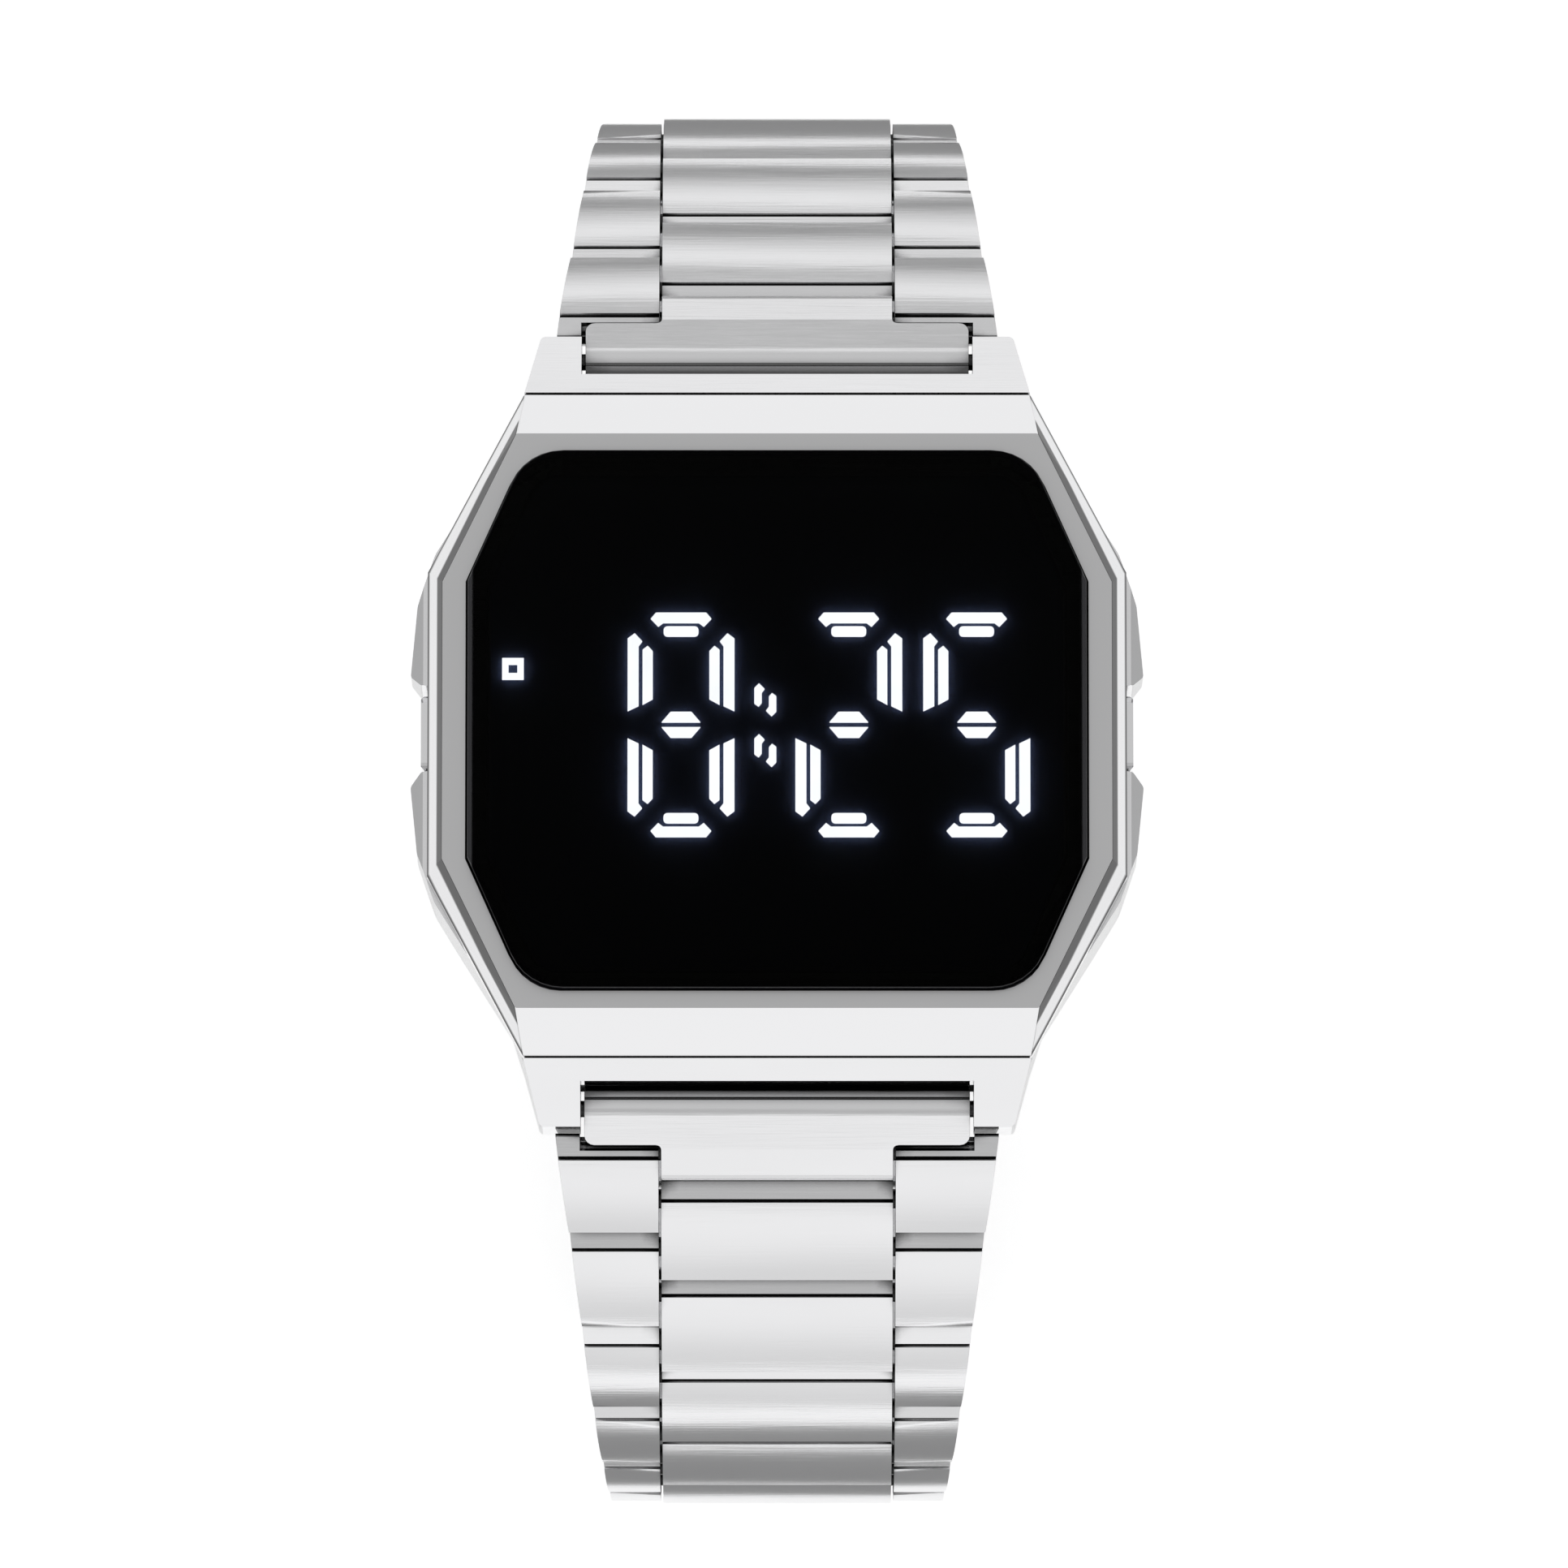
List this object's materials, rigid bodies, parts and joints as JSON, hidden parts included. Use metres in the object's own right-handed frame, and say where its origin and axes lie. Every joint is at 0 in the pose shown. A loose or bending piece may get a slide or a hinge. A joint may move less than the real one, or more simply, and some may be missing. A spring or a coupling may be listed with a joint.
{
  "type": "wristwatch",
  "caption": "Steel digital wristwatch with an eight-sided case, black glass over a lit display, two push buttons, a tapering link bracelet and a folding clasp.",
  "frame": {"origin": "middle of the case back's outer face", "axes": "+Z out of the dial, +Y towards 12 o'clock, +X towards 3 o'clock"},
  "size_m": [0.0374, 0.0724, 0.0544],
  "materials": {
    "case_steel": "polished stainless steel with brushed lug plates",
    "bezel_steel": "fine brushed face with polished bevels",
    "glass": "flat mineral glass, dark",
    "black_plastic": "black",
    "frame_plastic": "moulded, matt",
    "led_light": "lit white",
    "gasket_rubber": "matt",
    "board_green": "solder mask",
    "cell_steel": "plain",
    "contact_brass": "plated",
    "button_steel": "polished",
    "spring_steel": "plain",
    "pin_steel": "turned",
    "link_steel": "fine brushed along the link, polished edges",
    "clasp_steel": "fine brushed, polished edges"
  },
  "bodies": {
    "watch_head": {"case": "case_steel", "bezel": "bezel_steel", "glass": "glass", "glass_gasket": "gasket_rubber", "display_panel": "black_plastic", "led_segments": "led_light", "module_frame": "frame_plastic", "circuit_board": "board_green", "battery": "cell_steel", "battery_clip": "contact_brass", "back_gasket": "gasket_rubber", "case_back": "case_steel", "back_screws": "pin_steel", "button_seals": "gasket_rubber", "button_springs": "spring_steel", "lug_bar_upper": "pin_steel", "lug_bar_lower": "pin_steel"},
    "button_right": {"button_right": "button_steel", "button_clip_right": "spring_steel"},
    "button_left": {"button_left": "button_steel", "button_clip_left": "spring_steel"},
    "end_link_upper": {"end_link_upper": "link_steel"},
    "row_upper_1": {"row_upper_1": "link_steel"},
    "row_upper_2": {"row_upper_2": "link_steel"},
    "row_upper_3": {"row_upper_3": "link_steel"},
    "row_upper_4": {"row_upper_4": "link_steel"},
    "row_upper_5": {"row_upper_5": "link_steel"},
    "row_upper_6": {"row_upper_6": "link_steel"},
    "row_upper_7": {"row_upper_7": "link_steel"},
    "row_upper_8": {"row_upper_8": "link_steel"},
    "row_upper_9": {"row_upper_9": "link_steel"},
    "row_upper_10": {"row_upper_10": "link_steel"},
    "row_upper_11": {"row_upper_11": "link_steel"},
    "end_link_lower": {"end_link_lower": "link_steel"},
    "row_lower_1": {"row_lower_1": "link_steel"},
    "row_lower_2": {"row_lower_2": "link_steel"},
    "row_lower_3": {"row_lower_3": "link_steel"},
    "row_lower_4": {"row_lower_4": "link_steel"},
    "row_lower_5": {"row_lower_5": "link_steel"},
    "row_lower_6": {"row_lower_6": "link_steel"},
    "row_lower_7": {"row_lower_7": "link_steel"},
    "row_lower_8": {"row_lower_8": "link_steel"},
    "row_lower_9": {"row_lower_9": "link_steel"},
    "row_lower_10": {"row_lower_10": "link_steel"},
    "row_lower_11": {"row_lower_11": "link_steel", "clasp_spring_bar": "pin_steel"},
    "clasp_cover": {"clasp_cover": "clasp_steel", "clasp_pin": "pin_steel"},
    "clasp_blade_outer": {"clasp_blade_outer": "clasp_steel", "clasp_blade_pin": "pin_steel"},
    "clasp_blade_inner": {"clasp_blade_inner": "clasp_steel"}
  },
  "joints": [
    {"name": "button_right_press", "type": "slide", "parent": "watch_head", "child": "button_right", "axis": [-1, 0, 0], "range_m": [0, 0.0005], "stiffness_N_per_m": 300, "springref_m": -0.0005},
    {"name": "button_left_press", "type": "slide", "parent": "watch_head", "child": "button_left", "axis": [1, 0, 0], "range_m": [0, 0.0005], "stiffness_N_per_m": 300, "springref_m": -0.0005},
    {"name": "lug_hinge_upper", "type": "hinge", "parent": "watch_head", "child": "end_link_upper", "pos_m": [0, 0.01935, 0.0046], "axis": [1, 0, 0], "range_deg": [0, 24]},
    {"name": "row_hinge_upper_1", "type": "hinge", "parent": "end_link_upper", "child": "row_upper_1", "pos_m": [0, 0.02136, 0.00371], "axis": [1, 0, 0], "range_deg": [0, 14]},
    {"name": "row_hinge_upper_2", "type": "hinge", "parent": "row_upper_1", "child": "row_upper_2", "pos_m": [0, 0.02577, 0.00026], "axis": [1, 0, 0], "range_deg": [0, 4]},
    {"name": "row_hinge_upper_3", "type": "hinge", "parent": "row_upper_2", "child": "row_upper_3", "pos_m": [0, 0.02993, -0.00349], "axis": [1, 0, 0], "range_deg": [0, 16]},
    {"name": "row_hinge_upper_4", "type": "hinge", "parent": "row_upper_3", "child": "row_upper_4", "pos_m": [0, 0.0329, -0.00824], "axis": [1, 0, 0], "range_deg": [0, 15]},
    {"name": "row_hinge_upper_5", "type": "hinge", "parent": "row_upper_4", "child": "row_upper_5", "pos_m": [0, 0.03454, -0.01359], "axis": [1, 0, 0], "range_deg": [0, 13]},
    {"name": "row_hinge_upper_6", "type": "hinge", "parent": "row_upper_5", "child": "row_upper_6", "pos_m": [0, 0.03493, -0.01918], "axis": [1, 0, 0], "range_deg": [0, 12]},
    {"name": "row_hinge_upper_7", "type": "hinge", "parent": "row_upper_6", "child": "row_upper_7", "pos_m": [0, 0.03415, -0.02473], "axis": [1, 0, 0], "range_deg": [0, 12]},
    {"name": "row_hinge_upper_8", "type": "hinge", "parent": "row_upper_7", "child": "row_upper_8", "pos_m": [0, 0.03224, -0.02999], "axis": [1, 0, 0], "range_deg": [0, 12]},
    {"name": "row_hinge_upper_9", "type": "hinge", "parent": "row_upper_8", "child": "row_upper_9", "pos_m": [0, 0.02927, -0.03474], "axis": [1, 0, 0], "range_deg": [0, 13]},
    {"name": "row_hinge_upper_10", "type": "hinge", "parent": "row_upper_9", "child": "row_upper_10", "pos_m": [0, 0.02531, -0.0387], "axis": [1, 0, 0], "range_deg": [0, 13]},
    {"name": "row_hinge_upper_11", "type": "hinge", "parent": "row_upper_10", "child": "row_upper_11", "pos_m": [0, 0.02056, -0.04166], "axis": [1, 0, 0], "range_deg": [0, 14]},
    {"name": "lug_hinge_lower", "type": "hinge", "parent": "watch_head", "child": "end_link_lower", "pos_m": [0, -0.01935, 0.0046], "axis": [-1, 0, 0], "range_deg": [0, 24]},
    {"name": "row_hinge_lower_1", "type": "hinge", "parent": "end_link_lower", "child": "row_lower_1", "pos_m": [0, -0.02136, 0.00371], "axis": [-1, 0, 0], "range_deg": [0, 14]},
    {"name": "row_hinge_lower_2", "type": "hinge", "parent": "row_lower_1", "child": "row_lower_2", "pos_m": [0, -0.02577, 0.00026], "axis": [-1, 0, 0], "range_deg": [0, 4]},
    {"name": "row_hinge_lower_3", "type": "hinge", "parent": "row_lower_2", "child": "row_lower_3", "pos_m": [0, -0.02993, -0.00349], "axis": [-1, 0, 0], "range_deg": [0, 16]},
    {"name": "row_hinge_lower_4", "type": "hinge", "parent": "row_lower_3", "child": "row_lower_4", "pos_m": [0, -0.0329, -0.00824], "axis": [-1, 0, 0], "range_deg": [0, 15]},
    {"name": "row_hinge_lower_5", "type": "hinge", "parent": "row_lower_4", "child": "row_lower_5", "pos_m": [0, -0.03454, -0.01359], "axis": [-1, 0, 0], "range_deg": [0, 13]},
    {"name": "row_hinge_lower_6", "type": "hinge", "parent": "row_lower_5", "child": "row_lower_6", "pos_m": [0, -0.03493, -0.01918], "axis": [-1, 0, 0], "range_deg": [0, 12]},
    {"name": "row_hinge_lower_7", "type": "hinge", "parent": "row_lower_6", "child": "row_lower_7", "pos_m": [0, -0.03415, -0.02473], "axis": [-1, 0, 0], "range_deg": [0, 12]},
    {"name": "row_hinge_lower_8", "type": "hinge", "parent": "row_lower_7", "child": "row_lower_8", "pos_m": [0, -0.03224, -0.02999], "axis": [-1, 0, 0], "range_deg": [0, 12]},
    {"name": "row_hinge_lower_9", "type": "hinge", "parent": "row_lower_8", "child": "row_lower_9", "pos_m": [0, -0.02927, -0.03474], "axis": [-1, 0, 0], "range_deg": [0, 13]},
    {"name": "row_hinge_lower_10", "type": "hinge", "parent": "row_lower_9", "child": "row_lower_10", "pos_m": [0, -0.02531, -0.0387], "axis": [-1, 0, 0], "range_deg": [0, 13]},
    {"name": "row_hinge_lower_11", "type": "hinge", "parent": "row_lower_10", "child": "row_lower_11", "pos_m": [0, -0.02056, -0.04166], "axis": [-1, 0, 0], "range_deg": [0, 14]},
    {"name": "clasp_cover_hinge", "type": "hinge", "parent": "row_upper_11", "child": "clasp_cover", "pos_m": [0, 0.01523, -0.0434], "axis": [1, 0, 0], "range_deg": [0, 18]},
    {"name": "clasp_fold", "type": "hinge", "parent": "clasp_cover", "child": "clasp_blade_outer", "pos_m": [0, -0.01173, -0.04319], "axis": [1, 0, 0], "range_deg": [0, 60]},
    {"name": "clasp_tip_fold", "type": "hinge", "parent": "clasp_blade_outer", "child": "clasp_blade_inner", "pos_m": [0, 0.01073, -0.04319], "axis": [1, 0, 0], "range_deg": [-60, 0]}
  ],
  "couplings": [
    {"joint": "clasp_tip_fold", "follows": "clasp_fold", "ratio": -1}
  ]
}
